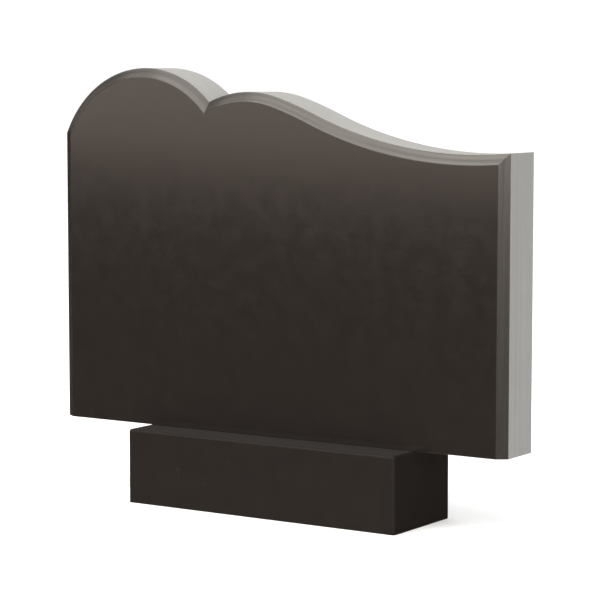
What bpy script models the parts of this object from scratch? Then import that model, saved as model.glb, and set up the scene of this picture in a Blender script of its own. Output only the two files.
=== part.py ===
"""A landscape headstone: a slab with a two-domed, sweeping top, standing on a low plinth block.

Metres, +Z up. The face for the inscription looks along -Y, and +X is to its reader's right.
The origin is on the ground, under the middle of the slab's width and of the plinth's depth.
"""

import math

import bmesh
import bpy
from mathutils import Vector

# The slab, which the trade calls a stele. Points on its top are (X, height above its underside).
STELE_WIDTH = 1.000
STELE_THICKNESS = 0.100
BIG_DOME_APEX = Vector((-0.304, 0.696))
BIG_DOME_RADIUS = 0.214
SMALL_DOME_APEX = Vector((-0.060, 0.6505))
SMALL_DOME_RADIUS = 0.224
BROW_RADIUS = 0.780
BROW_START = math.radians(17.4)
SWEEP_LOW_POINT = Vector((0.420, 0.5405))

# The chamfer round its face: the width it takes off the face, and off the thickness.
CHAMFER_WIDTH = 0.019
CHAMFER_DEPTH = 0.013

# The plinth block under it. The ledge is the part of its top in front of the slab.
PLINTH_WIDTH = 0.600
PLINTH_DEPTH = 0.200
PLINTH_HEIGHT = 0.144
PLINTH_OFFSET = 0.012
PLINTH_EASING = 0.005
LEDGE_DEPTH = 0.0685

# The dry joint between the two stones.
BED_GAP = 0.0003

# How many facets each round stretch has.
BIG_DOME_STEPS = 44
SMALL_DOME_STEPS = 20
BROW_STEPS = 10
SWEEP_STEPS = 36
EASING_STEPS = 3
SMOOTH_ANGLE = math.radians(30)


def upper_crossing(first, first_radius, second, second_radius):
    """The upper of the two points where two circles cross, the first circle being on the left."""
    line = second - first
    distance = line.length
    along = (distance ** 2 + first_radius ** 2 - second_radius ** 2) / (2 * distance)
    above = math.sqrt(first_radius ** 2 - along ** 2)
    line.normalize()
    return first + line * along + Vector((-line.y, line.x)) * above


def arc(centre, start, end, steps):
    """Points on a circle from start to end by the shorter way, without start itself."""
    first = start - centre
    last = end - centre
    start_angle = math.atan2(first.y, first.x)
    turn = math.atan2(first.cross(last), first.dot(last))
    angles = [start_angle + turn * step / steps for step in range(1, steps + 1)]
    return [centre + first.length * Vector((math.cos(angle), math.sin(angle))) for angle in angles]


def stele_outline(inset):
    """The slab's outline in X and height, drawn in by inset all round except at its underside.

    The top runs from left to right as a big dome, a notch, a small dome, the wider brow that
    the small dome eases into, and a hollow sweep that leaves the brow without a kink.
    """
    half = STELE_WIDTH / 2 - inset
    brow_side = Vector((math.sin(BROW_START), math.cos(BROW_START)))

    big_centre = BIG_DOME_APEX - Vector((0, BIG_DOME_RADIUS))
    small_centre = SMALL_DOME_APEX - Vector((0, SMALL_DOME_RADIUS))
    brow_centre = small_centre - brow_side * (BROW_RADIUS - SMALL_DOME_RADIUS)
    run = SWEEP_LOW_POINT.x - brow_centre.x
    drop = brow_centre.y + BROW_RADIUS - SWEEP_LOW_POINT.y
    centre_distance = (run ** 2 + drop ** 2) / (2 * drop)
    sweep_centre = SWEEP_LOW_POINT + Vector((0, centre_distance - BROW_RADIUS))

    big_radius = BIG_DOME_RADIUS - inset
    small_radius = SMALL_DOME_RADIUS - inset
    brow_radius = BROW_RADIUS - inset
    sweep_radius = centre_distance - brow_radius

    left_rise = math.sqrt(big_radius ** 2 - (half + big_centre.x) ** 2)
    left_corner = Vector((-half, big_centre.y + left_rise))
    notch = upper_crossing(big_centre, big_radius, small_centre, small_radius)
    brow_start = small_centre + brow_side * small_radius
    brow_end = brow_centre.lerp(sweep_centre, brow_radius / centre_distance)
    right_drop = math.sqrt(sweep_radius ** 2 - (half - sweep_centre.x) ** 2)
    right_corner = Vector((half, sweep_centre.y - right_drop))

    outline = [Vector((half, 0)), Vector((-half, 0)), left_corner]
    outline += arc(big_centre, left_corner, notch, BIG_DOME_STEPS)
    outline += arc(small_centre, notch, brow_start, SMALL_DOME_STEPS)
    outline += arc(brow_centre, brow_start, brow_end, BROW_STEPS)
    outline += arc(sweep_centre, brow_end, right_corner, SWEEP_STEPS)
    return outline


def edge_loop(bm, outline, y, underside):
    """A closed loop of edges that follows an outline at one depth."""
    verts = [bm.verts.new((point.x, y, underside + point.y)) for point in outline]
    return [bm.edges.new((vert, verts[index - 1])) for index, vert in enumerate(verts)]


def make_stele():
    """The slab, chamfered round its face at both sides and along the whole top."""
    face = LEDGE_DEPTH - PLINTH_DEPTH / 2
    underside = PLINTH_HEIGHT + BED_GAP

    bm = bmesh.new()
    face_loop = edge_loop(bm, stele_outline(CHAMFER_WIDTH), face, underside)
    arris_loop = edge_loop(bm, stele_outline(0), face + CHAMFER_DEPTH, underside)
    back_loop = edge_loop(bm, stele_outline(0), face + STELE_THICKNESS, underside)
    bmesh.ops.bridge_loops(bm, edges=face_loop + arris_loop)
    bmesh.ops.bridge_loops(bm, edges=arris_loop + back_loop)
    bmesh.ops.contextual_create(bm, geom=face_loop)
    bmesh.ops.contextual_create(bm, geom=back_loop)
    finish_node(bm, "stele")


def make_plinth():
    """The block, its edges eased except for those that it stands on."""
    bm = bmesh.new()
    bmesh.ops.create_cube(bm, size=1)
    bmesh.ops.scale(bm, vec=(PLINTH_WIDTH, PLINTH_DEPTH, PLINTH_HEIGHT), verts=bm.verts)
    bmesh.ops.translate(bm, vec=(PLINTH_OFFSET, 0, PLINTH_HEIGHT / 2), verts=bm.verts)
    middle = PLINTH_HEIGHT / 2
    eased = [edge for edge in bm.edges if max(vert.co.z for vert in edge.verts) > middle]
    bmesh.ops.bevel(
        bm, geom=eased, offset=PLINTH_EASING, segments=EASING_STEPS, profile=0.5,
        affect="EDGES", material=-1,
    )
    finish_node(bm, "plinth")


def finish_node(bm, name):
    """Makes a bmesh into a named object of polished stone, with its faces pointing out."""
    bmesh.ops.recalc_face_normals(bm, faces=bm.faces)
    mesh = bpy.data.meshes.new(name)
    bm.to_mesh(mesh)
    bm.free()
    mesh.shade_smooth()
    mesh.set_sharp_from_angle(angle=SMOOTH_ANGLE)
    mesh.materials.append(polished_gabbro(name))
    node = bpy.data.objects.new(name, mesh)
    bpy.context.collection.objects.link(node)


def polished_gabbro(name):
    """Near-black stone, ground and polished."""
    material = bpy.data.materials.new(name + "_gabbro")
    material.use_nodes = True
    shader = material.node_tree.nodes["Principled BSDF"]
    shader.inputs["Base Color"].default_value = (0.028, 0.023, 0.019, 1)
    shader.inputs["Roughness"].default_value = 0.25
    shader.inputs["Metallic"].default_value = 0
    return material


def main():
    for old in list(bpy.data.objects):
        bpy.data.objects.remove(old)
    make_plinth()
    make_stele()


main()
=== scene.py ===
"""A landscape headstone of dark gabbro: a polished slab on a plinth block, in a plain studio."""

import math

import bmesh
import bpy
from bpy.props import FloatProperty, FloatVectorProperty, PointerProperty
from bpy.types import Operator, Panel, PropertyGroup
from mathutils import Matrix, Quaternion, Vector


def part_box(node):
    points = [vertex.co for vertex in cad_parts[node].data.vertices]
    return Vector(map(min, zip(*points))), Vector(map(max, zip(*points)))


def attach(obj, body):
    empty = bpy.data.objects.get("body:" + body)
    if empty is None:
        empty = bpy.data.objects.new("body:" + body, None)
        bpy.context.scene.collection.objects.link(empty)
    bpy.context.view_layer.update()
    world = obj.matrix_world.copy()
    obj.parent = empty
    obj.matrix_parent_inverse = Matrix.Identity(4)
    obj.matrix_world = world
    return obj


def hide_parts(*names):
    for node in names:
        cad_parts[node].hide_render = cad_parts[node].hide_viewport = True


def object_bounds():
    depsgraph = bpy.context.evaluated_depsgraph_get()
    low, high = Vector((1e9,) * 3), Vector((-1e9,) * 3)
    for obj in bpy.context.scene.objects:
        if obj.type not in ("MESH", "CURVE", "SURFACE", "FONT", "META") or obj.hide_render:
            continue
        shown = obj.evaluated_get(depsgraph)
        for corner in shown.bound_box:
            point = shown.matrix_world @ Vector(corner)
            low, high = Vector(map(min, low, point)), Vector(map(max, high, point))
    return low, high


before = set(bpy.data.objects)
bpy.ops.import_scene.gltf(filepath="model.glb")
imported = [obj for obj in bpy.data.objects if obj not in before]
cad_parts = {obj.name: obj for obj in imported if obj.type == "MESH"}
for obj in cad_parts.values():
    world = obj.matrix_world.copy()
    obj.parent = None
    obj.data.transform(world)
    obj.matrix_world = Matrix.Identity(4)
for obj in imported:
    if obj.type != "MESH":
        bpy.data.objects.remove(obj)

bl_info = {
    "name": "Headstone",
    "version": (1, 0, 0),
    "blender": (4, 5, 0),
    "location": "3D View > Sidebar > Headstone",
    "description": "Makes the slab, the plinth and the studio of a landscape headstone",
    "category": "Add Mesh",
}

CAD_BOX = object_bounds()

# Corners of the CAD mesh nearer than this are one corner.
MERGE_DISTANCE = 0.00001
# Faces of the CAD mesh that meet at less than this are one flat face.
FLAT_ANGLE = math.radians(0.25)
# Edges that turn by more than this are arrises, not facets of a curve.
ARRIS_ANGLE = math.radians(20)
# Faces that meet at more than this are shaded with a hard edge.
SHARP_ANGLE = math.radians(35)
# A face whose normal lies this close to an axis is square to it.
SQUARE = 0.999
# How squarely the slab's face and back look along the depth, and how much its chamfer still does.
FACE_SQUARENESS, CHAMFER_SQUARENESS = 0.97, 0.6


def linear(hex_colour):
    """The linear RGBA of a colour written as sRGB hex."""
    channels = [int(hex_colour[start:start + 2], 16) / 255 for start in (1, 3, 5)]
    curve = [c / 12.92 if c <= 0.04045 else ((c + 0.055) / 1.055) ** 2.4 for c in channels]
    return (*curve, 1.0)


def colour_property(name, description, hex_colour):
    return FloatVectorProperty(
        name=name, description=description, default=linear(hex_colour), size=4,
        min=0, max=1, subtype="COLOR",
    )


def length_property(name, description, default):
    return FloatProperty(
        name=name, description=description, default=default, min=0, unit="LENGTH",
        precision=4,
    )


def angle_property(name, description, degrees):
    return FloatProperty(
        name=name, description=description, default=math.radians(degrees), subtype="ANGLE",
    )


class GabbroSettings(PropertyGroup):
    """The stone's colours and the real size of its grain and tool marks."""

    dark: colour_property("Dark grain", "Pyroxene, the darker mineral of the polished stone", "#14110f")
    light: colour_property("Light grain", "Feldspar, the paler mineral of the polished stone", "#26201c")
    # Painted glints: this colour draws pale specks that are partly pale marks in the stone and partly
    # painted glints in the polish.
    fleck_and_glint: colour_property("Fleck", "Scattered pale specks in the polish", "#453f39")
    honed: colour_property("Honed", "The stone where it is only sawn and honed", "#888886")
    honed_dark: colour_property("Honed, dark", "Dark lines in the honed stone", "#80807e")
    ground: colour_property("Ground", "The chamfer, ground but not fully polished", "#2f2b27")
    ground_dark: colour_property("Ground, dark", "Dark lines in the ground chamfer", "#1b1816")
    crystal: length_property("Crystal", "Width of one crystal", 0.004)
    cloud: length_property("Cloud", "Width of a paler cloud in the polish", 0.035)
    fleck_spacing: length_property("Fleck spacing", "Distance between flecks", 0.025)
    saw_line: length_property("Saw line", "Distance between the lines of the saw and the grinder", 0.004)


class StoneSettings(PropertyGroup):
    """How far the masons took the arrises off."""

    slab_arris: length_property("Slab arris", "Width taken off the slab's sharp edges", 0.0009)
    plinth_easing: length_property("Plinth easing", "Radius of the plinth's eased edges", 0.005)


class StudioSettings(PropertyGroup):
    """Where the camera stands and how the studio is lit."""

    azimuth: angle_property("Azimuth", "How far the camera stands to the right of the face", 33.28)
    elevation: angle_property("Elevation", "How far the camera looks down", 5.48)
    distance: length_property("Distance", "From the camera to what it aims at", 4.302)
    lens: FloatProperty(
        name="Lens", description="Focal length in mm", default=136.3, min=1, unit="CAMERA",
    )
    floor: colour_property("Floor", "The pale floor", "#f9f9f9")


class HeadstoneSettings(PropertyGroup):
    """All that a user would change."""

    gabbro: PointerProperty(type=GabbroSettings)
    stone: PointerProperty(type=StoneSettings)
    studio: PointerProperty(type=StudioSettings)


# ---- materials ----


def add_node(tree, kind, inputs=None, **settings):
    """Adds a node with its settings, each input either linked to a socket or set to a value."""
    node = tree.nodes.new(kind)
    for name, value in settings.items():
        setattr(node, name, value)
    for name, value in (inputs or {}).items():
        if isinstance(value, bpy.types.NodeSocket):
            tree.links.new(value, node.inputs[name])
        else:
            node.inputs[name].default_value = value
    return node


# The places of the colour inputs and output of a Mix node.
MIX_A, MIX_B, MIX_RESULT = 6, 7, 2

# The axes that the lines in the stone are narrow along: those at one depth in the slab run along
# every edge of it, and those at one height run level across the back.
DEPTH, HEIGHT = 1, 2
# How much of the lines' pattern fits in a metre along them.
LINE_STRETCH = 3.0
# The share of the possible pale specks that is left out; the specks are partly pale marks in the stone
# and partly painted glints.
FLECKLESS_SHARE = 0.8
# How far the crystals stand out of the polish.
CRYSTAL_RELIEF = 0.0002
GABBRO_IOR = 1.5


def new_material(name):
    """An empty Principled material: the material, its tree and its shader."""
    material = bpy.data.materials.get(name) or bpy.data.materials.new(name)
    material.use_nodes = True
    tree = material.node_tree
    tree.nodes.clear()
    shader = add_node(tree, "ShaderNodeBsdfPrincipled")
    add_node(tree, "ShaderNodeOutputMaterial", {"Surface": shader.outputs["BSDF"]})
    return material, tree, shader


def dark_gabbro(name, settings, shine):
    """Fine-grained gabbro, ground smooth: tiny crystals, faint clouds and the odd pale spot, partly a
    pale mark in the stone and partly a painted glint.

    shine is the roughness of the best and of the worst polished spots. Real crystals are 1 to 2 mm
    wide, which would be too fine to show, so settings.crystal draws them two to four times as coarse.
    """
    material, tree, shader = new_material(name)
    place = add_node(tree, "ShaderNodeTexCoord").outputs["Object"]

    clouds = add_node(tree, "ShaderNodeTexNoise", {
        "Vector": place, "Scale": 1 / settings.cloud, "Detail": 6.0, "Roughness": 0.62,
    })
    crystals = add_node(tree, "ShaderNodeTexVoronoi", {
        "Vector": place, "Scale": 1 / settings.crystal, "Randomness": 1.0,
    })
    crystal = add_node(tree, "ShaderNodeSeparateColor", {"Color": crystals.outputs["Color"]})

    cloud_share = add_node(tree, "ShaderNodeMapRange", {
        "Value": clouds.outputs["Fac"], "From Min": 0.35, "From Max": 0.7,
        "To Min": 0.0, "To Max": 0.65,
    })
    grain_share = add_node(tree, "ShaderNodeMath", {
        0: cloud_share.outputs["Result"], 1: crystal.outputs["Red"],
    }, operation="MULTIPLY")
    grain_share = add_node(tree, "ShaderNodeMath", {
        0: grain_share.outputs["Value"], 1: 0.5, 2: 0.2,
    }, operation="MULTIPLY_ADD")
    grain = add_node(tree, "ShaderNodeMix", {
        0: grain_share.outputs["Value"], MIX_A: settings.dark, MIX_B: settings.light,
    }, data_type="RGBA")

    # Pale specks painted into the colour: partly pale marks in the stone and partly painted glints in the
    # polish.
    flecks = add_node(tree, "ShaderNodeTexVoronoi", {
        "Vector": place, "Scale": 1 / settings.fleck_spacing, "Randomness": 1.0,
    })
    chosen = add_node(tree, "ShaderNodeSeparateColor", {"Color": flecks.outputs["Color"]})
    speck_and_glint = add_node(tree, "ShaderNodeMapRange", {
        "Value": flecks.outputs["Distance"], "From Min": 0.05, "From Max": 0.02,
        "To Min": 0.0, "To Max": 1.0,
    })
    rare = add_node(tree, "ShaderNodeMath", {
        0: chosen.outputs["Green"], 1: FLECKLESS_SHARE,
    }, operation="GREATER_THAN")
    speck_and_glint = add_node(tree, "ShaderNodeMath", {
        0: speck_and_glint.outputs["Result"], 1: rare.outputs["Value"],
    }, operation="MULTIPLY")
    colour = add_node(tree, "ShaderNodeMix", {
        0: speck_and_glint.outputs["Value"], MIX_A: grain.outputs[MIX_RESULT], MIX_B: settings.fleck_and_glint,
    }, data_type="RGBA")
    tree.links.new(colour.outputs[MIX_RESULT], shader.inputs["Base Color"])

    gloss = add_node(tree, "ShaderNodeMapRange", {
        "Value": clouds.outputs["Fac"], "From Min": 0.3, "From Max": 0.7,
        "To Min": shine[0], "To Max": shine[1],
    })
    tree.links.new(gloss.outputs["Result"], shader.inputs["Roughness"])

    relief = add_node(tree, "ShaderNodeBump", {
        "Strength": 0.08, "Distance": CRYSTAL_RELIEF, "Height": crystal.outputs["Green"],
    })
    tree.links.new(relief.outputs["Normal"], shader.inputs["Normal"])
    shader.inputs["IOR"].default_value = GABBRO_IOR
    return material


def polished_gabbro(settings):
    """The face and the plinth: sawn, ground and polished.

    A near-black stone with a soft gloss, and a polish that is a little uneven, so that
    reflected light breaks up in clouds.
    """
    return dark_gabbro("polished_gabbro", settings, (0.14, 0.18))


def satin_gabbro(settings):
    """The top of the plinth: ground and left satin.

    As dark as the polish but without its mirror, so that it shows a soft sheen at a low angle.
    """
    return dark_gabbro("satin_gabbro", settings, (0.5, 0.6))


def rubbed_gabbro(settings):
    """The eased edges of the plinth: rounded over by hand with a stone.

    Dark and almost without gloss, so that the edges catch only a soft light.
    """
    material = dark_gabbro("rubbed_gabbro", settings, (0.6, 0.7))
    material.node_tree.nodes["Principled BSDF"].inputs["Specular IOR Level"].default_value = 0.2
    return material


def fine_lines(tree, place, spacing, across):
    """Fine lines in the stone: noise drawn out long, and narrow along the axis given."""
    scale = [LINE_STRETCH] * 3
    scale[across] = 1 / spacing
    stretch = add_node(tree, "ShaderNodeMapping", {"Vector": place, "Scale": scale})
    return add_node(tree, "ShaderNodeTexNoise", {
        "Vector": stretch.outputs["Vector"], "Scale": 1.0, "Detail": 2.0, "Roughness": 0.5,
    })


def lined_gabbro(name, settings, pale, dark, roughness, line_depth, across, mottling):
    """The same stone short of a polish, with the lines that the saw and the grinder left.

    roughness is that of its dark and of its pale lines, and mottling is the share of the colour
    that follows the crystals and not the lines.
    """
    material, tree, shader = new_material(name)
    place = add_node(tree, "ShaderNodeTexCoord").outputs["Object"]
    lines = fine_lines(tree, place, settings.saw_line, across)
    # Patches three crystals wide, with finer detail in them.
    mottle = add_node(tree, "ShaderNodeTexNoise", {
        "Vector": place, "Scale": 1 / settings.crystal / 3, "Detail": 3.0, "Roughness": 0.7,
    })
    blend = add_node(tree, "ShaderNodeMix", {
        0: mottling, 2: lines.outputs["Fac"], 3: mottle.outputs["Fac"],
    }, data_type="FLOAT")
    share = add_node(tree, "ShaderNodeMapRange", {
        "Value": blend.outputs[0], "From Min": 0.35, "From Max": 0.65,
        "To Min": 0.0, "To Max": 1.0,
    })
    colour = add_node(tree, "ShaderNodeMix", {
        0: share.outputs["Result"], MIX_A: dark, MIX_B: pale,
    }, data_type="RGBA")
    tree.links.new(colour.outputs[MIX_RESULT], shader.inputs["Base Color"])
    relief = add_node(tree, "ShaderNodeBump", {
        "Strength": 0.6, "Distance": line_depth, "Height": lines.outputs["Fac"],
    })
    tree.links.new(relief.outputs["Normal"], shader.inputs["Normal"])
    gloss = add_node(tree, "ShaderNodeMapRange", {
        "Value": lines.outputs["Fac"], "From Min": 0.35, "From Max": 0.65,
        "To Min": roughness[0], "To Max": roughness[1],
    })
    tree.links.new(gloss.outputs["Result"], shader.inputs["Roughness"])
    return material, shader


def ground_gabbro(settings):
    """The chamfer: ground along its length but not polished out.

    Darker than the honed edges and duller than the face, with broad soft highlights drawn out
    along the edge.
    """
    material, shader = lined_gabbro(
        "ground_gabbro", settings, settings.ground, settings.ground_dark,
        roughness=(0.34, 0.18), line_depth=0.0004, across=DEPTH, mottling=0.2,
    )
    shader.inputs["Specular Tint"].default_value = linear("#fffbf6")
    return material


def honed_gabbro(settings):
    """The edges: sawn and honed.

    Pale grey and matt, because the cut crystals scatter light, with fine lines along the edge.
    """
    material, _ = lined_gabbro(
        "honed_gabbro", settings, settings.honed, settings.honed_dark,
        roughness=(0.66, 0.56), line_depth=0.0002, across=DEPTH, mottling=0.2,
    )
    return material


def sawn_gabbro(settings):
    """The back: left from the saw.

    The same pale grey as the edges, with the level tracks of the blade across it.
    """
    material, _ = lined_gabbro(
        "sawn_gabbro", settings, settings.honed, settings.honed_dark,
        roughness=(0.7, 0.62), line_depth=0.00005, across=HEIGHT, mottling=0.7,
    )
    return material


# ---- pieces ----


def finish_piece(bm, name, node, materials):
    """Makes a bmesh into a named piece that stands for a CAD node, with flat faces shaded flat."""
    mesh = bpy.data.meshes.new(name)
    bm.to_mesh(mesh)
    bm.free()
    for material in materials:
        mesh.materials.append(material)
    mesh.shade_smooth()
    mesh.set_sharp_from_angle(angle=SHARP_ANGLE)
    piece = bpy.data.objects.new(name, mesh)
    bpy.context.collection.objects.link(piece)
    weighting = piece.modifiers.new("flat faces stay flat", "WEIGHTED_NORMAL")
    weighting.weight = 100
    weighting.keep_sharp = True
    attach(piece, "root")
    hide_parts(node)
    return piece


def merged_copy(node):
    """A CAD node's shape with its loose triangles joined into whole flat faces."""
    bm = bmesh.new()
    bm.from_mesh(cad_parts[node].data)
    bmesh.ops.remove_doubles(bm, verts=bm.verts, dist=MERGE_DISTANCE)
    bmesh.ops.dissolve_limit(bm, angle_limit=FLAT_ANGLE, verts=bm.verts, edges=bm.edges)
    return bm


class HEADSTONE_OT_slab(Operator):
    """Makes the slab: polished face, ground chamfer, honed edges, sawn back and eased arrises"""

    bl_idname = "headstone.slab"
    bl_label = "Slab"
    bl_options = {"REGISTER", "UNDO"}

    FACE, CHAMFER, HONED, BACK = range(4)

    def execute(self, context):
        settings = context.scene.headstone
        bm = merged_copy("stele")
        arrises = [e for e in bm.edges if e.is_manifold and e.calc_face_angle() > ARRIS_ANGLE]
        bmesh.ops.bevel(
            bm, geom=arrises, offset=settings.stone.slab_arris, segments=3, profile=0.5,
            affect="EDGES", material=-1, clamp_overlap=True,
        )
        for face in bm.faces:
            if face.normal.y < -FACE_SQUARENESS:
                face.material_index = self.FACE
            elif face.normal.y < -CHAMFER_SQUARENESS:
                face.material_index = self.CHAMFER
            elif face.normal.y > FACE_SQUARENESS:
                face.material_index = self.BACK
            else:
                face.material_index = self.HONED
        gabbro = settings.gabbro
        materials = [
            polished_gabbro(gabbro), ground_gabbro(gabbro), honed_gabbro(gabbro), sawn_gabbro(gabbro),
        ]
        finish_piece(bm, "stele_stone", "stele", materials)
        return {"FINISHED"}


class HEADSTONE_OT_plinth(Operator):
    """Makes the plinth: a block with polished sides, a satin top and eased edges"""

    bl_idname = "headstone.plinth"
    bl_label = "Plinth"
    bl_options = {"REGISTER", "UNDO"}

    POLISHED, SATIN, RUBBED = range(3)

    def execute(self, context):
        settings = context.scene.headstone
        low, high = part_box("plinth")
        bm = bmesh.new()
        bmesh.ops.create_cube(bm, size=1)
        bmesh.ops.scale(bm, vec=high - low, verts=bm.verts)
        bmesh.ops.translate(bm, vec=(low + high) / 2, verts=bm.verts)
        middle = (low.z + high.z) / 2
        eased = [edge for edge in bm.edges if max(vert.co.z for vert in edge.verts) > middle]
        bmesh.ops.bevel(
            bm, geom=eased, offset=settings.stone.plinth_easing, segments=6, profile=0.5,
            affect="EDGES", material=-1,
        )
        for face in bm.faces:
            if max(abs(face.normal.x), abs(face.normal.y)) > SQUARE:
                face.material_index = self.POLISHED
            elif abs(face.normal.z) > SQUARE:
                face.material_index = self.SATIN
            else:
                face.material_index = self.RUBBED
        gabbro = settings.gabbro
        materials = [polished_gabbro(gabbro), satin_gabbro(gabbro), rubbed_gabbro(gabbro)]
        finish_piece(bm, "plinth_stone", "plinth", materials)
        return {"FINISHED"}


# ---- studio ----

# How bright the studio is straight overhead, beyond what it is all round, and behind the stone.
OVERHEAD_LIGHT, ALL_ROUND_LIGHT, BACKGROUND_WHITE = 1.75, 0.42, 1.05

# The light panels: where the middle is, what it faces, width, height, roll, brightness and colour.
# The two in front stand upright, and the face mirrors the lower edge of the left one as a gradient
# that fades down the stone. The two overhead light the top and its chamfer.
PANELS = {
    "left_panel": ((-5.0, -6.5, 1.71), (-5.0, 0, 1.71), 8.0, 2.62, math.radians(-2.5), 2.25, "#ffeee2"),
    "right_panel": ((5.6, -6.5, 1.74), (5.6, 0, 1.74), 6.0, 2.6, 0, 6.4, "#fffaf4"),
    "top_panel": ((-0.2, -2.15, 3.6), (-0.2, -2.15, 0), 3.4, 3.3, 0, 5.0, "#fffcf8"),
    "top_fill": ((-2.75, -1.95, 3.6), (-2.75, -1.95, 0), 1.7, 2.9, 0, 2.0, "#fffcf8"),
}


def panel_light(name, place, target, width, height, roll, strength, colour):
    """A soft rectangular light of a given brightness, facing a target and rolled about its middle."""
    light = bpy.data.lights.new(name, "AREA")
    light.shape = "RECTANGLE"
    light.size = width
    light.size_y = height
    light.energy = strength * width * height * math.pi
    light.color = linear(colour)[:3]
    panel = bpy.data.objects.new(name, light)
    panel.location = place
    facing = (Vector(target) - Vector(place)).to_track_quat("-Z", "Y")
    panel.rotation_euler = (facing @ Quaternion((0, 0, 1), roll)).to_euler()
    panel.visible_camera = False
    bpy.context.collection.objects.link(panel)


def studio_world():
    """White to the camera, soft light on the stone, and a dim room with a white backdrop in its gloss."""
    world = bpy.data.worlds.get("studio") or bpy.data.worlds.new("studio")
    bpy.context.scene.world = world
    world.use_nodes = True
    tree = world.node_tree
    tree.nodes.clear()
    ray = add_node(tree, "ShaderNodeLightPath")
    direction = add_node(tree, "ShaderNodeTexCoord").outputs["Generated"]
    axes = add_node(tree, "ShaderNodeSeparateXYZ", {"Vector": direction})
    side, depth, height = axes.outputs["X"], axes.outputs["Y"], axes.outputs["Z"]
    # What the gloss mirrors in front: the floor, dimmer towards the horizon and at the left end,
    # and a room that is dark at the horizon and paler higher up.
    near_floor = add_node(tree, "ShaderNodeMapRange", {
        "Value": height, "From Min": -0.24, "From Max": -0.08, "To Min": 0.3, "To Max": 0.08,
    }, interpolation_type="SMOOTHSTEP")
    room = add_node(tree, "ShaderNodeMapRange", {
        "Value": height, "From Min": 0.0, "From Max": 0.3, "To Min": 0.0, "To Max": 0.45,
    }, interpolation_type="SMOOTHSTEP")
    left_end = add_node(tree, "ShaderNodeMapRange", {
        "Value": side, "From Min": -0.97, "From Max": -0.8, "To Min": 0.2, "To Max": 1.0,
    }, interpolation_type="SMOOTHSTEP")
    in_front = add_node(tree, "ShaderNodeMath", {
        0: near_floor.outputs["Result"], 1: left_end.outputs["Result"], 2: room.outputs["Result"],
    }, operation="MULTIPLY_ADD")
    # What it mirrors behind: dark below the horizon, and the white backdrop above it.
    behind = add_node(tree, "ShaderNodeMapRange", {
        "Value": height, "From Min": -0.03, "From Max": 0.06, "To Min": 0.05, "To Max": 1.15,
    }, interpolation_type="SMOOTHSTEP")
    backdrop = add_node(tree, "ShaderNodeMapRange", {
        "Value": depth, "From Min": 0.5, "From Max": 0.85, "To Min": 0.0, "To Max": 1.0,
    }, interpolation_type="SMOOTHSTEP")
    mirrored = add_node(tree, "ShaderNodeMix", {
        0: backdrop.outputs["Result"], 2: in_front.outputs["Value"], 3: behind.outputs["Result"],
    }, data_type="FLOAT")
    # Even soft light from all round, stronger from overhead.
    upward = add_node(tree, "ShaderNodeMath", {0: height, 1: 0.0}, operation="MAXIMUM")
    upward = add_node(tree, "ShaderNodeMath", {0: upward.outputs["Value"], 1: 2.0}, operation="POWER")
    overhead = add_node(tree, "ShaderNodeMath", {
        0: upward.outputs["Value"], 1: OVERHEAD_LIGHT, 2: ALL_ROUND_LIGHT,
    }, operation="MULTIPLY_ADD")
    soft = add_node(tree, "ShaderNodeBackground", {
        "Color": (1, 1, 1, 1), "Strength": overhead.outputs["Value"],
    })
    seen = add_node(tree, "ShaderNodeBackground", {
        "Color": (1, 1, 1, 1), "Strength": BACKGROUND_WHITE,
    })
    glossy = add_node(tree, "ShaderNodeBackground", {
        "Color": linear("#fff6ec"), "Strength": mirrored.outputs[0],
    })
    lighting = add_node(tree, "ShaderNodeMixShader", {
        0: ray.outputs["Is Glossy Ray"], 1: soft.outputs["Background"], 2: glossy.outputs["Background"],
    })
    shown = add_node(tree, "ShaderNodeMixShader", {
        0: ray.outputs["Is Camera Ray"], 1: lighting.outputs["Shader"], 2: seen.outputs["Background"],
    })
    add_node(tree, "ShaderNodeOutputWorld", {"Surface": shown.outputs["Shader"]})


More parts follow.
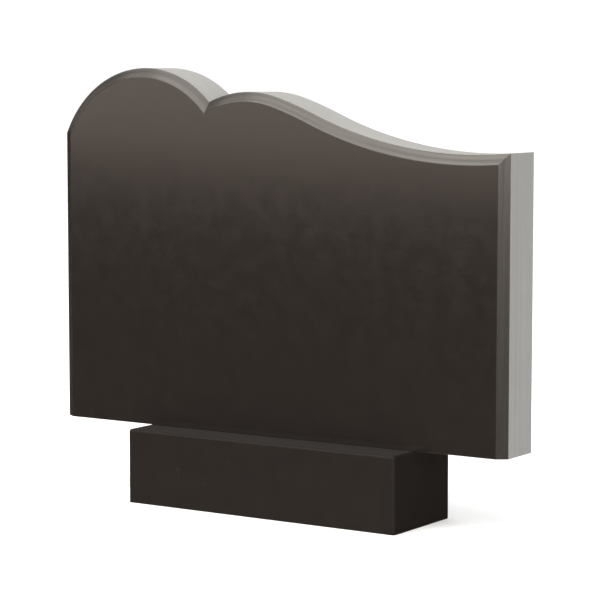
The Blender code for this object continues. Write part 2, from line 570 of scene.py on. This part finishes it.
class HEADSTONE_OT_studio(Operator):
    """Makes the floor, the lights and the camera"""

    bl_idname = "headstone.studio"
    bl_label = "Studio"
    bl_options = {"REGISTER", "UNDO"}

    FLOOR_SIZE = 80
    # From the middle of the stone to what the camera aims at.
    AIM = Vector((0.032, 0.0185, -0.018))

    def execute(self, context):
        settings = context.scene.headstone.studio
        self.make_floor(settings)
        studio_world()
        for name, panel in PANELS.items():
            panel_light(name, *panel)
        self.make_camera(context, settings)
        context.scene.view_settings.view_transform = "Standard"
        return {"FINISHED"}

    def make_floor(self, settings):
        bm = bmesh.new()
        bmesh.ops.create_grid(bm, x_segments=1, y_segments=1, size=self.FLOOR_SIZE / 2)
        mesh = bpy.data.meshes.new("floor")
        bm.to_mesh(mesh)
        bm.free()
        material, _, shader = new_material("pale_floor")
        shader.inputs["Base Color"].default_value = settings.floor
        # Matt paper: no gloss of its own.
        shader.inputs["Roughness"].default_value = 0.9
        shader.inputs["Specular IOR Level"].default_value = 0.0
        mesh.materials.append(material)
        floor = bpy.data.objects.new("floor", mesh)
        floor.visible_glossy = False
        bpy.context.collection.objects.link(floor)

    def make_camera(self, context, settings):
        low, high = CAD_BOX
        aim = (low + high) / 2 + self.AIM
        turn, tilt = settings.azimuth, settings.elevation
        back = Vector((
            math.sin(turn) * math.cos(tilt), -math.cos(turn) * math.cos(tilt), math.sin(tilt),
        ))
        data = bpy.data.cameras.new("camera")
        data.lens = settings.lens
        camera = bpy.data.objects.new("camera", data)
        camera.location = aim + back * settings.distance
        camera.rotation_euler = (-back).to_track_quat("-Z", "Y").to_euler()
        context.collection.objects.link(camera)
        context.scene.camera = camera


class HEADSTONE_PT_panel(Panel):
    """Lists what the headstone is made of"""

    bl_idname = "HEADSTONE_PT_panel"
    bl_label = "Headstone"
    bl_space_type = "VIEW_3D"
    bl_region_type = "UI"
    bl_category = "Headstone"

    def draw(self, context):
        for operator in OPERATORS:
            self.layout.operator(operator.bl_idname)
        for group in (context.scene.headstone.stone, context.scene.headstone.gabbro,
                      context.scene.headstone.studio):
            column = self.layout.column()
            for name in group.__annotations__:
                column.prop(group, name)


OPERATORS = (HEADSTONE_OT_slab, HEADSTONE_OT_plinth, HEADSTONE_OT_studio)
CLASSES = (
    GabbroSettings, StoneSettings, StudioSettings, HeadstoneSettings, *OPERATORS, HEADSTONE_PT_panel,
)


def register():
    for cls in CLASSES:
        bpy.utils.register_class(cls)
    bpy.types.Scene.headstone = PointerProperty(type=HeadstoneSettings)


def unregister():
    del bpy.types.Scene.headstone
    for cls in reversed(CLASSES):
        bpy.utils.unregister_class(cls)


def main():
    register()
    bpy.ops.headstone.slab()
    bpy.ops.headstone.plinth()
    bpy.ops.headstone.studio()


if __name__ == "__main__":
    main()
